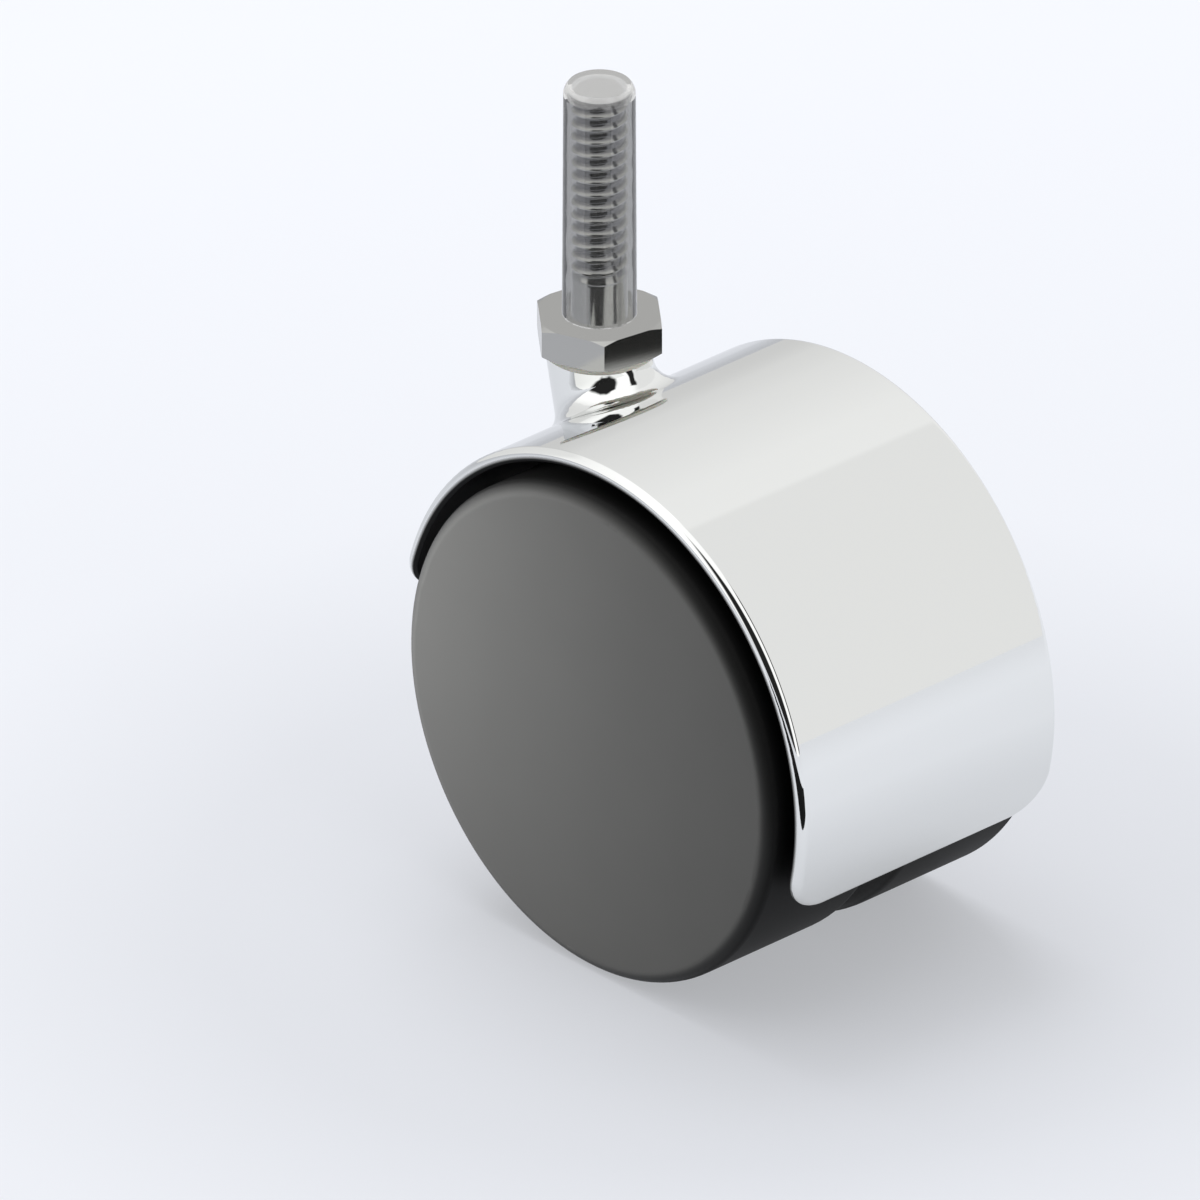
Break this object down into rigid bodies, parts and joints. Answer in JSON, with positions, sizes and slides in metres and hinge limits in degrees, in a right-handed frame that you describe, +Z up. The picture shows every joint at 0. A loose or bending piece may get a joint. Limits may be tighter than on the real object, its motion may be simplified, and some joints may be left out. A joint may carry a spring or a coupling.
{
  "type": "swivel castor",
  "caption": "Hooded twin-wheel swivel castor with a chrome hood and neck, hex collar, threaded stem and clear thread protector.",
  "frame": {"origin": "where the stem's axis meets the top face of the hex collar, which seats against the furniture", "axes": "+Z up along the stem, +Y along the axle, +X from the stem towards the axle, the trailing side"},
  "size_m": [0.0828, 0.0546, 0.121],
  "materials": {
    "plated_steel": "bright nickel plate over turned steel",
    "chromed_zinc": "polished chrome plate over a zinc die casting",
    "spring_steel": "oiled spring steel",
    "bright_steel": "drawn bright steel",
    "clear_plastic": "translucent moulded polyethylene",
    "natural_nylon": "natural moulded nylon",
    "grey_nylon": "satin moulded grey nylon"
  },
  "bodies": {
    "stem": {"threaded_stem": "plated_steel", "stem_snap_ring": "spring_steel"},
    "protector": {"thread_protector": "clear_plastic"},
    "housing": {"hood_housing": "chromed_zinc", "stem_bush": "natural_nylon", "thrust_disc": "spring_steel", "axle_pin": "bright_steel", "axle_washer_left": "bright_steel", "axle_washer_right": "bright_steel"},
    "left_wheel": {"wheel_left": "grey_nylon", "hub_bush_left": "natural_nylon", "axle_snap_ring_left": "spring_steel"},
    "right_wheel": {"wheel_right": "grey_nylon", "hub_bush_right": "natural_nylon", "axle_snap_ring_right": "spring_steel"}
  },
  "joints": [
    {"name": "swivel", "type": "hinge", "parent": "stem", "child": "housing", "pos_m": [0, 0, 0], "axis": [0, 0, 1], "continuous": true},
    {"name": "left_wheel_spin", "type": "hinge", "parent": "housing", "child": "left_wheel", "pos_m": [0.0264, 0, -0.0473], "axis": [0, 1, 0], "continuous": true},
    {"name": "right_wheel_spin", "type": "hinge", "parent": "housing", "child": "right_wheel", "pos_m": [0.0264, 0, -0.0473], "axis": [0, 1, 0], "continuous": true},
    {"name": "protector_pull", "type": "slide", "parent": "stem", "child": "protector", "axis": [0, 0, 1], "range_m": [0, 0.06]}
  ]
}
